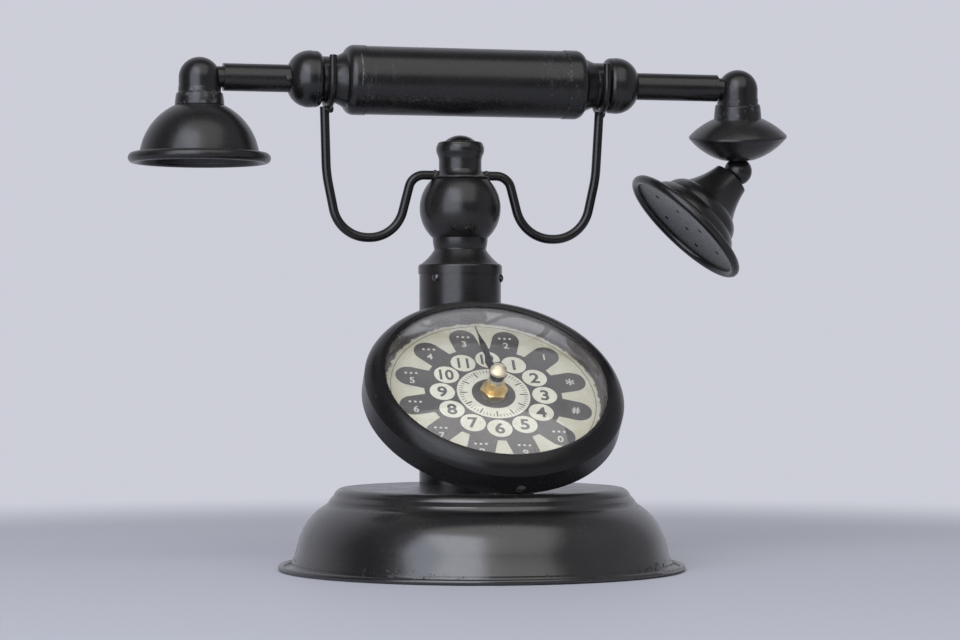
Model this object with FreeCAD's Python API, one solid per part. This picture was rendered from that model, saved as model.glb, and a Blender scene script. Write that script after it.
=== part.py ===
import FreeCAD
import Part
import math
import os

from FreeCAD import Vector

# Table clock in the shape of an old desk telephone. Millimetres. The origin is the centre of the
# base at table level, +Z is up, the dial faces -Y, and the mouthpiece end of the handset is at +X.

# Clearances
seat_gap = 0.05
running_gap = 0.05
swivel_gap = 0.1
cradle_gap = 0.45

# Base: a spun sheet pan with a raised flat top, a curved skirt and an up-turned rolled lip
base_rim_r = 89.0
base_height = 35.75
base_sheet = 1.2
base_top_r = 61.0
base_edge_w = 3.9
base_edge_drop = 3.2
base_step_w = 5.6
base_step_drop = 5.0
base_crease_w = 8.6
base_crease_drop = 8.0
base_shoulder_bulge = 1.95
base_flare_w = 8.4
base_flare_rise = 11.6
base_gutter_w = 5.8
base_gutter_rise = 3.4
base_foot_w = 3.15
base_lip_r = 1.25

# Column: tube, collar, neck ring, ball and finial, clamped by one long threaded rod
column_y = 43.5
tube_r = 18.5
tube_wall = 1.5
tube_length = 94.8
collar_r = 19.0
collar_band_h = 4.5
collar_cone_h = 6.9
collar_edge = 1.3
collar_wall = 1.4
collar_spigot_h = 6.0
collar_screw_drop = 2.0
collar_screw_count = 3
collar_screw_turn = -49.0
neck_r = 12.5
neck_waist = 0.7
neck_h = 4.9
ball_r = 18.4
finial_skirt_r = 12.6
finial_skirt_edge = 0.6
finial_skirt_h = 2.0
finial_neck_r = 9.65
finial_neck_h = 5.7
finial_swell_r = 10.3
finial_swell_h = 8.6
finial_knob_r = 10.9
finial_knob_h = 10.8
finial_brow_r = 10.35
finial_brow_h = 13.2
finial_shoulder_r = 8.9
finial_shoulder_h = 14.5
finial_button_r = 7.3
finial_h = 17.5
rod_r = 3.0
rod_tail = 3.0
rod_tip_h = 11.0
washer_r = 9.0
washer_t = 1.5
nut_af = 10.0
nut_h = 5.0

# Cradle: two bent wire arms that carry a wire fork each
arm_r = 2.1
arm_drop = 0.8
arm_bend_reach = 22.3
arm_bend_r = 7.0
arm_dip_drop = 28.5
arm_dip_lean = 7.4
arm_dip_inset_left = 6.2
arm_dip_inset_right = 8.6
arm_knee_inset_left = 0.4
arm_knee_inset_right = 2.3
arm_top_shift = -0.5
arm_knee_drop = 30.0
arm_knee_r = 60.0
fork_wire_r = 1.6
fork_inset_left = 1.3
fork_tine_left_h = 9.8
fork_tine_right_h = 8.7

# Handset: a tube through the grip, two beads and two elbow balls
handset_rise = 42.4
handset_x = 2.0
handset_rod_r = 6.2
handset_rod_wall = 1.4
grip_r = 15.45
grip_wall = 1.2
grip_half = 46.2
grip_spigot = 8.0
grip_ring_r = 15.75
grip_ring_w = 4.9
grip_cone_r = 12.7
grip_cone_w = 4.5
groove_r = 10.3
groove_reach = 64.0
groove_lead = 3.1
bead_r = 12.6
bead_start = 1.8
bead_face_r = 11.5
bead_face = 0.7
bead_crest = 3.6
bead_length = 14.8
bead_end_r = 6.8
elbow_r = 9.3
elbow_dome_drop = 0.6
elbow_seat_drop = 4.8
elbow_rod_gap = 1.2
elbow_spigot = 6.0
joint_screw_r = 2.5
joint_screw_head_r = 4.5
joint_screw_head_h = 3.0
joint_screw_tip_drop = 1.0

# Earpiece end: stepped collar and a bell with a thick rolled rim
bell_reach = 120.75
end_collar_r = 11.0
end_collar_waist_r = 10.4
end_collar_top_r = 9.5
end_collar_step = 7.3
end_collar_edge = 0.6
bell_drop = 12.7
bell_sheet = 1.0
bell_crown_r = 10.6
bell_r = 26.5
bell_h = 21.3
bell_bulge = 3.45
bell_rim_r = 31.7
bell_rim_t = 2.35

# Mouthpiece end: collar, saucer of two shells, slotted swivel ball and tilting horn
mouth_reach = 130.3
mouth_roll = 8.5
mouth_lean = 3.0
saucer_drop = 13.9
saucer_sheet = 0.8
saucer_edge = 0.5
saucer_r = 22.7
saucer_crown_h = 8.5
saucer_bowl_h = 10.6
saucer_foot_r = 8.0
saucer_crown_bulge = 0.75
saucer_bowl_bulge = 1.3
swivel_ball_r = 6.5
swivel_ball_wall = 1.6
swivel_ball_drop = 5.5
swivel_stem_r = 2.5
swivel_washer_r = 5.5
swivel_washer_t = 0.8
swivel_nut_af = 8.0
swivel_nut_h = 4.0
swivel_stem_tail = 1.3
horn_tilt = 48.1
horn_swing = 8.1
horn_tilt_max = 57.5
horn_sheet = 1.1
horn_neck_r = 8.75
horn_neck_s = 5.1
horn_floor_t = 1.2
horn_throat_r = 14.6
horn_throat_s = 20.3
horn_step_r = 19.8
horn_step_s = 27.0
horn_flare_r = 24.2
horn_flare_s = 32.7
horn_lip_r = 32.7
horn_lip_t = 2.1
horn_lip_s = 36.6
grille_r = 28.9
grille_t = 0.8
grille_dish = 2.0
grille_hole_r = 1.1
grille_outer_count = 6
grille_outer_r = 19.0
grille_outer_turn = 23.0
grille_inner_count = 3
grille_inner_r = 8.0
grille_inner_turn = 0.0
stud_r = 1.5
stud_cap_s = 2.6
stud_nut_af = 5.5
stud_nut_h = 2.4
stud_tail = 1.0

# Clock: w is the distance in front of the dial's printed face
dial_lean = 40.4
drum_r = 56.45
drum_sheet = 1.0
drum_back_w = -5.75
drum_front_w = 4.0
bezel_crest_r = 50.2
bezel_crest_w = 10.1
bezel_roundness = 0.95
bezel_lip_r = 48.3
bezel_lip_w = 9.4
weld_r = 2.2
weld_length = 16.0
dial_t = 0.4
dial_edge_gap = 1.4
case_t = 1.0
case_flange_h = 4.0
spacer_lip = 0.3
glass_t = 1.5
glass_edge_gap = 1.9
glass_sag = 10.0
bezel_screw_w = -2.9
bezel_screw_count = 3
bezel_screw_turn = -88.0
bezel_screw_head_r = 2.2
small_screw_r = 1.0
small_screw_head_r = 1.8
small_screw_head_h = 1.2
small_screw_depth = 3.0

# Quartz movement behind the dial, with its centre stack through the dial
movement_size = 56.0
movement_depth = 15.5
movement_corner = 4.0
gasket_r = 9.0
gasket_t = 1.0
bush_r = 3.8
bush_top_w = 7.0
bush_root = 4.0
bush_washer_r = 5.4
bush_washer_t = 0.6
dial_nut_af = 11.0
dial_nut_h = 2.4
pipe_r = 2.5
arbor_r = 1.75
arbor_root = 4.0
arbor_top_w = 13.0
hour_hub_r = 3.1
hour_hub_w = 7.1
hour_hub_h = 1.7
minute_hub_r = 3.0
minute_hub_w = 8.9
minute_hub_h = 1.2
hand_t = 0.5
hand_turn = 6.6
hour_length = 19.5
hour_half_width = 1.7
minute_length = 33.2
minute_half_width = 1.5
hand_root_half_width = 0.6
hand_belly_share = 0.6
cap_r = 3.5
cap_h = 2.6
cap_w = 11.8
battery_r = 7.25
battery_length = 50.5
battery_v = -18.5
contact_t = 1.0
contact_size = 9.0
bay_floor_t = 0.9
knob_r = 5.5
knob_h = 4.0
knob_v = 10.0
knob_stem_r = 1.5
knob_stem_root = 5.0
knob_grooves = 12
knob_groove_r = 0.6

X_AXIS = Vector(1, 0, 0)
Y_AXIS = Vector(0, 1, 0)
Z_AXIS = Vector(0, 0, 1)
ORIGIN = Vector(0, 0, 0)


# Outlines: a step of two numbers is a line to (r, z), and a third number makes it an arc that
# bulges by that much to the left of the way it runs

def outline(start, steps):
    edges = []
    here = Vector(start[0], 0, start[1])
    for step in steps:
        there = Vector(step[0], 0, step[1])
        if len(step) == 2:
            edges.append(Part.LineSegment(here, there).toShape())
        else:
            way = there - here
            left = Vector(-way.z, 0, way.x).normalize()
            middle = (here + there) * 0.5 + left * step[2]
            edges.append(Part.Arc(here, middle, there).toShape())
        here = there
    return edges


def turned(start, *steps):
    edges = outline(start, steps)
    edges += outline(steps[-1][:2], [start])
    return Part.Face(Part.Wire(edges)).revolve(ORIGIN, Z_AXIS, 360)


def spun(sheet, start, *steps):
    profile = Part.Wire(outline(start, steps))
    section = profile.makeOffset2D(-sheet, 2, True, True)
    return section.revolve(ORIGIN, Z_AXIS, 360)


def rod(radius, low, high):
    return Part.makeCylinder(radius, high - low, Vector(0, 0, low))


def ring(outer, inner, low, high):
    return rod(outer, low, high).cut(rod(inner, low, high))


def hex_nut(across_flats, low, high, bore):
    corner = across_flats / math.sqrt(3)
    corners = []
    for k in range(7):
        turn = math.radians(60 * k)
        corners.append(Vector(corner * math.cos(turn), corner * math.sin(turn), low))
    prism = Part.Face(Part.makePolygon(corners)).extrude(Vector(0, 0, high - low))
    height = high - low
    chamfer = turned((0, low), (corner, low), (corner, high - height * 0.2),
                     (across_flats / 2, high), (0, high))
    return prism.common(chamfer).cut(rod(bore, low, high))


def pan_screw(shank_r, head_r, head_h, depth):
    head = domed(head_r, 0, head_h * 0.35, head_h)
    return head.fuse(rod(shank_r, -depth, head_h * 0.2)).removeSplitter()


def domed(radius, low, shoulder, high):
    rise = high - shoulder
    dome_r = (radius ** 2 + rise ** 2) / (2 * rise)
    dome = Part.makeSphere(dome_r, Vector(0, 0, high - dome_r))
    return rod(radius, low, high).common(dome)


def torus(ring_r, wire_r, z):
    return Part.makeTorus(ring_r, wire_r, Vector(0, 0, z))


def half_space(z, above):
    size = 400.0
    low = z if above else z - size
    return Part.makeBox(size, size, size, Vector(-size / 2, -size / 2, low))


def bent_wire(points, radii, wire_r):
    corners = [Vector(*p) for p in points]
    edges = []
    here = corners[0]
    for before, corner, after, radius in zip(corners, corners[1:], corners[2:], radii):
        into = (corner - before).normalize()
        out = (after - corner).normalize()
        turn = into.getAngle(out)
        trim = radius * math.tan(turn / 2)
        start = corner - into * trim
        end = corner + out * trim
        inward = (out - into).normalize()
        middle = corner + inward * (radius / math.cos(turn / 2) - radius)
        edges.append(Part.LineSegment(here, start).toShape())
        edges.append(Part.Arc(start, middle, end).toShape())
        here = end
    edges.append(Part.LineSegment(here, corners[-1]).toShape())
    path = Part.Wire(edges)
    way = (corners[1] - corners[0]).normalize()
    section = Part.Wire(Part.makeCircle(wire_r, corners[0], way))
    return path.makePipeShell([section], True, False)


# Placing a piece that was turned about Z

def on_column(shape):
    return shape.translated(Vector(0, column_y, 0))


def along_handset(shape, side):
    return shape.rotated(ORIGIN, Y_AXIS, 90 * side).translated(handset_centre)


def under_handset(shape, reach):
    return shape.translated(handset_centre + Vector(reach, 0, 0))


def at_bell(shape):
    return under_handset(shape, -bell_reach)


def at_mouth(shape):
    shape = shape.rotated(ORIGIN, Y_AXIS, -mouth_lean).rotated(ORIGIN, X_AXIS, mouth_roll)
    return under_handset(shape, mouth_reach)


def on_swivel(shape):
    turned_shape = shape.rotated(ORIGIN, Z_AXIS, horn_swing)
    return at_mouth(turned_shape.translated(Vector(0, 0, swivel_z)))


def in_horn(shape):
    return on_swivel(shape.rotated(ORIGIN, Y_AXIS, 180 + horn_tilt))


def in_clock(shape):
    return shape.rotated(ORIGIN, X_AXIS, dial_lean).translated(dial_centre)


def around(shape, count, first_turn):
    copies = []
    for k in range(count):
        copies.append(shape.rotated(ORIGIN, Z_AXIS, first_turn + 360.0 * k / count))
    return Part.makeCompound(copies)


def save(shape, node):
    shape.exportStep("parts/" + node + ".step")


# Heights up the column
tube_top = base_height + tube_length
collar_top = tube_top + collar_band_h + collar_cone_h
collar_top_r = neck_r - neck_waist
ball_z = collar_top + neck_h + math.sqrt(ball_r ** 2 - neck_r ** 2)
finial_z = ball_z + math.sqrt(ball_r ** 2 - finial_neck_r ** 2)
rod_low = base_height - base_sheet - washer_t - nut_h - rod_tail
rod_high = finial_z + rod_tip_h
rod_bore = rod_r + seat_gap

# Places of the handset and the cradle
arm_z = finial_z - arm_drop
handset_z = arm_z + handset_rise
handset_centre = Vector(handset_x, column_y, handset_z)
fork_r = groove_r + cradle_gap + fork_wire_r
screw_bore = joint_screw_r + seat_gap
rod_end_inset = elbow_r + elbow_rod_gap

# Places on the mouthpiece end, below the handset's axis
saucer_seam = -saucer_drop - saucer_crown_h
saucer_foot = saucer_seam - saucer_bowl_h
swivel_z = saucer_foot - swivel_ball_drop
swivel_centre = at_mouth(Part.Vertex(0, 0, swivel_z)).Point

# Places in the clock; the drum's back edge stands on the base and leans on the column
lean = math.radians(dial_lean)
drum_depth = -drum_back_w
dial_y = (column_y - tube_r - seat_gap
          - drum_r * math.cos(lean) - drum_depth * math.sin(lean))
dial_z = (base_height + seat_gap
          + drum_r * math.sin(lean) + drum_depth * math.cos(lean))
dial_centre = Vector(0, dial_y, dial_z)
drum_bore = drum_r - drum_sheet
case_r = drum_bore - seat_gap
case_back_w = -dial_t - case_t
movement_front_w = case_back_w - gasket_t
movement_back_w = movement_front_w - movement_depth
bush_hole_r = bush_r + seat_gap
glass_r = drum_bore - glass_edge_gap
glass_ball_r = (glass_r ** 2 + glass_sag ** 2) / (2 * glass_sag)
glass_outer_r = glass_ball_r + glass_t
lip_under_w = bezel_lip_w - drum_sheet - seat_gap
glass_top_w = lip_under_w + glass_outer_r - math.sqrt(glass_outer_r ** 2 - bezel_lip_r ** 2)
glass_foot_w = glass_top_w - glass_t - glass_sag


def base_shell():
    gutter_r = base_rim_r - base_gutter_w
    pan = spun(base_sheet,
               (0, base_height),
               (base_top_r, base_height),
               (base_top_r + base_edge_w, base_height - base_edge_drop, base_edge_drop * 0.24),
               (base_top_r + base_step_w, base_height - base_step_drop),
               (base_top_r + base_crease_w, base_height - base_crease_drop, -0.4),
               (base_rim_r - base_flare_w, base_flare_rise, base_shoulder_bulge),
               (gutter_r, base_gutter_rise, -0.2),
               (base_rim_r - base_lip_r - base_foot_w, base_sheet, -0.4),
               (base_rim_r - base_lip_r, base_sheet))
    lip = torus(base_rim_r - base_lip_r, base_lip_r, base_lip_r)
    hole = on_column(rod(rod_bore, 0, base_height))
    return pan.fuse(lip).removeSplitter().cut(hole)


def rod_fixings():
    washer_top = base_height - base_sheet
    washer_low = washer_top - washer_t
    washer = ring(washer_r, rod_bore, washer_low, washer_top)
    nut = hex_nut(nut_af, washer_low - nut_h, washer_low, rod_bore)
    save(on_column(washer), "base_washer")
    save(on_column(nut), "base_nut")
    save(on_column(rod(rod_r, rod_low, rod_high)), "tie_rod")


def column_collar():
    edge = collar_r - tube_r
    shoulder = tube_top + collar_band_h
    outside = turned((0, tube_top - collar_spigot_h),
                     (tube_r - tube_wall - seat_gap, tube_top - collar_spigot_h),
                     (tube_r - tube_wall - seat_gap, tube_top),
                     (collar_r, tube_top),
                     (collar_r, shoulder - collar_edge),
                     (collar_r - collar_edge, shoulder, -collar_edge * 0.25),
                     (collar_top_r, collar_top - edge, 0.4),
                     (collar_top_r, collar_top),
                     (0, collar_top))
    hollow_r = tube_r - tube_wall - seat_gap - collar_wall
    hollow = turned((0, tube_top - collar_spigot_h),
                    (hollow_r, tube_top - collar_spigot_h),
                    (hollow_r, shoulder - collar_wall),
                    (collar_top_r - collar_wall, collar_top - collar_wall * 2),
                    (0, collar_top - collar_wall * 2))
    return outside.cut(hollow).cut(rod(rod_bore, tube_top, collar_top))


def collar_screw_set():
    screw = pan_screw(small_screw_r, small_screw_head_r, small_screw_head_h, small_screw_depth)
    screw = screw.rotated(ORIGIN, X_AXIS, 90)
    screw = screw.translated(Vector(0, -tube_r, tube_top - collar_screw_drop))
    return around(screw, collar_screw_count, collar_screw_turn)


def column():
    screws = collar_screw_set()
    tube = ring(tube_r, tube_r - tube_wall, base_height, tube_top)
    save(on_column(tube.cut(screws)), "column_tube")
    save(on_column(column_collar().cut(screws)), "column_collar")
    save(on_column(screws), "collar_screws")

    sphere = Part.makeSphere(ball_r, Vector(0, 0, ball_z))
    neck = turned((0, collar_top),
                  (collar_top_r, collar_top),
                  (neck_r, collar_top + neck_h, -0.15),
                  (neck_r, ball_z),
                  (0, ball_z))
    neck = neck.cut(sphere).cut(rod(rod_bore, collar_top, ball_z))
    save(on_column(neck), "neck_ring")

    ball = sphere.cut(rod(rod_bore, ball_z - ball_r, ball_z + ball_r))
    save(on_column(ball).cut(cradle_arm(-1)).cut(cradle_arm(1)), "column_ball")
    cap = on_column(finial().cut(sphere))
    save(cap.cut(cradle_arm(-1)).cut(cradle_arm(1)), "finial")


def finial():
    skirt = ball_z + math.sqrt(ball_r ** 2 - finial_skirt_r ** 2)
    shoulder = finial_z + finial_shoulder_h
    body = turned((0, ball_z),
                  (finial_skirt_r, ball_z),
                  (finial_skirt_r, skirt + finial_skirt_edge),
                  (finial_neck_r, finial_z + finial_skirt_h, 0.5),
                  (finial_neck_r, finial_z + finial_neck_h),
                  (finial_swell_r, finial_z + finial_swell_h, 0.15),
                  (finial_knob_r, finial_z + finial_knob_h, -0.15),
                  (finial_brow_r, finial_z + finial_brow_h, -0.2),
                  (finial_shoulder_r, shoulder, -0.35),
                  (0, shoulder))
    button = domed(finial_button_r, ball_z, shoulder, finial_z + finial_h)
    return body.fuse(button).removeSplitter().cut(rod(rod_bore, ball_z, rod_high))


def cradle_arm(side):
    top_x = handset_x + side * groove_reach
    dip_inset = arm_dip_inset_left if side < 0 else arm_dip_inset_right
    knee_inset = arm_knee_inset_left if side < 0 else arm_knee_inset_right
    dip_z = arm_z - arm_dip_drop
    bend = side * arm_bend_reach
    dip_in = side * (arm_bend_reach + arm_dip_lean)
    dip_out = top_x - side * dip_inset
    knee = top_x - side * knee_inset
    fork_low = handset_z - fork_r
    knee_z = fork_low - arm_knee_drop
    points = [(side * (finial_neck_r + seat_gap), arm_z), (bend, arm_z), (dip_in, dip_z),
              (dip_out, dip_z), (knee, knee_z), (top_x + arm_top_shift, fork_low)]
    into_dip = math.atan2(arm_dip_drop, arm_dip_lean)
    out_of_dip = math.atan2(knee_z - dip_z, abs(knee - dip_out))
    dip_r = 0.97 * abs(dip_out - dip_in) / (math.tan(into_dip / 2) + math.tan(out_of_dip / 2))
    places = [(x, column_y, z) for x, z in points]
    arm = bent_wire(places, [arm_bend_r, dip_r, dip_r, arm_knee_r], arm_r)
    return arm.cut(cradle_fork(side))


def cradle_fork(side):
    inset = fork_inset_left if side < 0 else 0
    fork_x = handset_x + side * (groove_reach - inset)
    tine_z = handset_z + (fork_tine_left_h if side < 0 else fork_tine_right_h)
    top = Vector(fork_x, column_y - fork_r, tine_z)
    left = Vector(fork_x, column_y - fork_r, handset_z)
    low = Vector(fork_x, column_y, handset_z - fork_r)
    right = Vector(fork_x, column_y + fork_r, handset_z)
    end = Vector(fork_x, column_y + fork_r, tine_z)
    path = Part.Wire([Part.LineSegment(top, left).toShape(),
                      Part.Arc(left, low, right).toShape(),
                      Part.LineSegment(right, end).toShape()])
    section = Part.Wire(Part.makeCircle(fork_wire_r, top, Z_AXIS))
    return path.makePipeShell([section], True, False)


def cradle():
    for side, name in ((-1, "left"), (1, "right")):
        save(cradle_arm(side), "cradle_arm_" + name)
        save(cradle_fork(side), "cradle_fork_" + name)


def grip_end():
    ring_end = grip_half + grip_ring_w
    cone_end = ring_end + grip_cone_w
    groove_end = groove_reach + bead_start
    spigot_r = grip_r - grip_wall - seat_gap
    body = turned((0, grip_half - grip_spigot),
                  (spigot_r, grip_half - grip_spigot),
                  (spigot_r, grip_half),
                  (grip_ring_r, grip_half),
                  (grip_ring_r, ring_end),
                  (grip_cone_r, cone_end, -0.9),
                  (groove_r, groove_reach - groove_lead, 0.3),
                  (groove_r, groove_end),
                  (0, groove_end))
    bore = rod(handset_rod_r + seat_gap, grip_half - grip_spigot, groove_end)
    return body.cut(bore)


def bead():
    start = groove_reach + bead_start
    end = start + bead_length
    body = turned((0, start),
                  (groove_r, start),
                  (bead_face_r, start + bead_face, 0.1),
                  (bead_r, start + bead_crest, -0.45),
                  (bead_end_r, end, -2.2),
                  (0, end))
    return body.cut(rod(handset_rod_r + seat_gap, start, end))


def elbow_dome():
    dome = Part.makeSphere(elbow_r, Vector(0, 0, -elbow_dome_drop))
    dome = dome.cut(half_space(-elbow_dome_drop, False))
    return dome.fuse(rod(elbow_r, -elbow_seat_drop, -elbow_dome_drop)).removeSplitter()


def elbow_spigot_rod(side):
    spigot_r = handset_rod_r - handset_rod_wall - seat_gap
    spigot = rod(spigot_r, 0, rod_end_inset + elbow_spigot)
    return spigot.rotated(ORIGIN, Y_AXIS, -90 * side)


def elbow(side, end):
    screw_hole = end(rod(screw_bore, -elbow_r, -joint_screw_tip_drop + seat_gap))
    spigot = under_handset(elbow_spigot_rod(side), -bell_reach if side < 0 else mouth_reach)
    return end(elbow_dome()).fuse(spigot).removeSplitter().cut(screw_hole)


def end_collar(foot):
    edge = end_collar_edge
    collar = turned((0, foot),
                    (end_collar_r, foot),
                    (end_collar_waist_r, -end_collar_step - edge, -0.1),
                    (end_collar_waist_r - edge, -end_collar_step, -edge * 0.2),
                    (end_collar_top_r, -end_collar_step),
                    (end_collar_top_r, -elbow_seat_drop),
                    (0, -elbow_seat_drop))
    return collar.cut(rod(screw_bore, foot, 0))


def joint_screw(plate_under):
    length = -joint_screw_tip_drop - plate_under
    screw = pan_screw(joint_screw_r, joint_screw_head_r, joint_screw_head_h, length)
    return screw.rotated(ORIGIN, X_AXIS, 180).translated(Vector(0, 0, plate_under))


def handset():
    left_end = -bell_reach + rod_end_inset
    right_end = mouth_reach - rod_end_inset
    tube = ring(handset_rod_r, handset_rod_r - handset_rod_wall, left_end, right_end)
    save(along_handset(tube, 1), "handset_rod")
    sleeve = ring(grip_r, grip_r - grip_wall, -grip_half, grip_half)
    save(along_handset(sleeve, 1), "grip_sleeve")
    for side, name, end in ((-1, "left", at_bell), (1, "right", at_mouth)):
        save(along_handset(grip_end(), side), "grip_end_" + name)
        save(along_handset(bead(), side), "bead_" + name)
        save(elbow(side, end), "elbow_" + name)


def earpiece():
    rim_ring_r = bell_rim_r - bell_rim_t
    rim_z = -bell_drop - bell_h - bell_rim_t
    shell = spun(bell_sheet,
                 (0, -bell_drop),
                 (bell_crown_r, -bell_drop),
                 (bell_r, -bell_drop - bell_h, bell_bulge),
                 (rim_ring_r - bell_rim_t * 0.8, rim_z))
    bell = shell.fuse(torus(rim_ring_r, bell_rim_t, rim_z)).removeSplitter()
    bell = bell.cut(rod(screw_bore, -bell_drop - bell_h, 0))
    save(at_bell(end_collar(-bell_drop)), "earpiece_collar")
    save(at_bell(bell), "earpiece_bell")
    save(at_bell(joint_screw(-bell_drop - bell_sheet)), "earpiece_screw")


def mouthpiece():
    crown = spun(saucer_sheet,
                 (0, -saucer_drop),
                 (end_collar_r, -saucer_drop),
                 (saucer_r, saucer_seam + saucer_edge, saucer_crown_bulge),
                 (saucer_r, saucer_seam))
    crown = crown.cut(rod(screw_bore, saucer_seam, 0))
    bowl = spun(saucer_sheet,
                (saucer_r, saucer_seam),
                (saucer_r, saucer_seam - saucer_edge),
                (saucer_foot_r, saucer_foot, saucer_bowl_bulge),
                (0, saucer_foot))
    seat = Part.makeSphere(swivel_ball_r + swivel_gap, Vector(0, 0, swivel_z))
    stem_hole = rod(swivel_stem_r + running_gap, saucer_foot, saucer_seam)
    bowl = bowl.cut(seat).cut(stem_hole)
    save(at_mouth(end_collar(-saucer_drop)), "mouthpiece_collar")
    save(at_mouth(crown), "saucer_upper")
    save(at_mouth(bowl), "saucer_lower")
    save(at_mouth(joint_screw(-saucer_drop - saucer_sheet)), "mouthpiece_screw")


def swivel_slot():
    inner_r = swivel_ball_r - swivel_ball_wall
    width = 2 * (stud_r + swivel_gap)
    spread = math.degrees(math.asin((stud_r + swivel_gap) / inner_r))
    sweep = horn_tilt_max + 2 * spread
    reach = swivel_ball_r * 2
    sector = []
    for turn in (-spread, sweep / 2 - spread, sweep - spread):
        angle = math.radians(turn)
        sector.append(Vector(-reach * math.sin(angle), -width / 2, -reach * math.cos(angle)))
    hub = Vector(0, -width / 2, 0)
    edges = [Part.LineSegment(hub, sector[0]).toShape(),
             Part.Arc(*sector).toShape(),
             Part.LineSegment(sector[2], hub).toShape()]
    return Part.Face(Part.Wire(edges)).extrude(Vector(0, width, 0))


def swivel():
    inner_r = swivel_ball_r - swivel_ball_wall
    washer_low = swivel_ball_drop + saucer_sheet + swivel_gap
    nut_low = washer_low + swivel_washer_t
    nut_top = nut_low + swivel_nut_h
    stem = rod(swivel_stem_r, inner_r, nut_top + swivel_stem_tail)
    ball = Part.makeSphere(swivel_ball_r).fuse(stem).removeSplitter()
    ball = ball.cut(Part.makeSphere(inner_r)).cut(swivel_slot())
    bore = swivel_stem_r + seat_gap
    washer = ring(swivel_washer_r, bore, washer_low, nut_low)
    nut = hex_nut(swivel_nut_af, nut_low, nut_top, bore)
    save(on_swivel(ball), "swivel_ball")
    save(on_swivel(washer), "swivel_washer")
    save(on_swivel(nut), "swivel_nut")


def grille_disc():
    dish_r = (grille_r ** 2 + grille_dish ** 2) / (2 * grille_dish)
    centre = Vector(0, 0, horn_lip_s - grille_dish + dish_r)
    shell = Part.makeSphere(dish_r + grille_t, centre).cut(Part.makeSphere(dish_r, centre))
    return shell.common(rod(grille_r, horn_lip_s - grille_dish - grille_t * 2, horn_lip_s))


def grille_holes():
    drill = rod(grille_hole_r, 0, horn_lip_s)
    outer = around(drill.translated(Vector(grille_outer_r, 0, 0)), grille_outer_count, grille_outer_turn)
    inner = around(drill.translated(Vector(grille_inner_r, 0, 0)), grille_inner_count, grille_inner_turn)
    return Part.makeCompound([outer, inner])


def horn_body():
    lip_ring_r = horn_lip_r - horn_lip_t
    shell = spun(horn_sheet,
                 (lip_ring_r + horn_lip_t * 0.3, horn_lip_s - horn_lip_t * 0.5),
                 (horn_flare_r, horn_flare_s, -0.8),
                 (horn_step_r, horn_step_s, 0.6),
                 (horn_throat_r, horn_throat_s, 1.0),
                 (horn_neck_r, horn_neck_s, -0.8))
    floor_top = swivel_ball_r + swivel_gap + horn_floor_t
    floor = rod(horn_neck_r, horn_neck_s, floor_top)
    body = shell.fuse([floor, torus(lip_ring_r, horn_lip_t, horn_lip_s)]).removeSplitter()
    body = body.cut(half_space(horn_neck_s, False))
    body = body.cut(Part.makeSphere(swivel_ball_r + swivel_gap))
    return body.cut(rod(stud_r + seat_gap, 0, floor_top))


def horn():
    disc = grille_disc()
    floor_top = swivel_ball_r + swivel_gap + horn_floor_t
    inner_r = swivel_ball_r - swivel_ball_wall - swivel_gap
    cap = Part.makeSphere(inner_r).cut(half_space(stud_cap_s, False))
    cap = cap.cut(rod(stud_r + seat_gap, 0, inner_r))
    stud = rod(stud_r, stud_cap_s, floor_top + stud_nut_h + stud_tail)
    nut = hex_nut(stud_nut_af, floor_top, floor_top + stud_nut_h, stud_r + seat_gap)
    save(in_horn(horn_body().cut(disc)), "horn")
    save(in_horn(disc.cut(grille_holes())), "horn_grille")
    save(in_horn(cap), "stud_cap")
    save(in_horn(stud), "horn_stud")
    save(in_horn(nut), "horn_nut")


def bezel_screw_set():
    screw = pan_screw(small_screw_r, bezel_screw_head_r, small_screw_head_h, small_screw_depth)
    screw = screw.rotated(ORIGIN, Y_AXIS, 90)
    screw = screw.translated(Vector(drum_r, 0, bezel_screw_w))
    return around(screw, bezel_screw_count, bezel_screw_turn)


def weld_bars(drum):
    half = weld_length / 2
    bar = Part.makeCylinder(weld_r, weld_length, Vector(-half, 0, 0), X_AXIS)
    foot_y = dial_y - drum_r * math.cos(lean) + drum_depth * math.sin(lean)
    head_z = dial_z + drum_r * math.sin(lean) - drum_depth * math.cos(lean)
    foot = bar.translated(Vector(0, foot_y + weld_r, base_height))
    foot = foot.cut(half_space(base_height, False))
    head = bar.translated(Vector(0, column_y - tube_r, head_z - weld_r))
    head = head.cut(on_column(rod(tube_r, base_height, tube_top)))
    solid_drum = in_clock(rod(drum_r, drum_back_w, drum_front_w))
    return Part.makeCompound([foot.cut(solid_drum), head.cut(solid_drum)])


def clock_case():
    bezel = spun(drum_sheet,
                 (bezel_lip_r, bezel_lip_w),
                 (bezel_crest_r, bezel_crest_w, 0.1),
                 (drum_r, drum_front_w, bezel_roundness),
                 (drum_r, drum_back_w))
    screws = bezel_screw_set()
    pan = rod(case_r, case_back_w, -dial_t)
    flange = ring(case_r, case_r - case_t, case_back_w - case_flange_h, case_back_w)
    pan = pan.fuse(flange).removeSplitter().cut(rod(bush_hole_r, case_back_w, 0))
    save(in_clock(bezel.cut(screws)), "clock_bezel")
    save(in_clock(pan.cut(screws)), "clock_case")
    save(in_clock(screws), "bezel_screws")
    save(weld_bars(bezel), "drum_welds")

    dial = ring(case_r - dial_edge_gap, bush_hole_r, -dial_t, 0)
    save(in_clock(dial), "dial")
    spacer = ring(glass_r, bezel_lip_r + spacer_lip, 0, glass_foot_w)
    save(in_clock(spacer), "glass_spacer")
    ball_z_in_clock = glass_top_w - glass_outer_r
    inside = Part.makeSphere(glass_ball_r, Vector(0, 0, ball_z_in_clock))
    dome = Part.makeSphere(glass_outer_r, Vector(0, 0, ball_z_in_clock))
    glass = dome.cut(inside).common(rod(glass_r, glass_foot_w, glass_top_w))
    save(in_clock(glass), "clock_glass")


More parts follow.
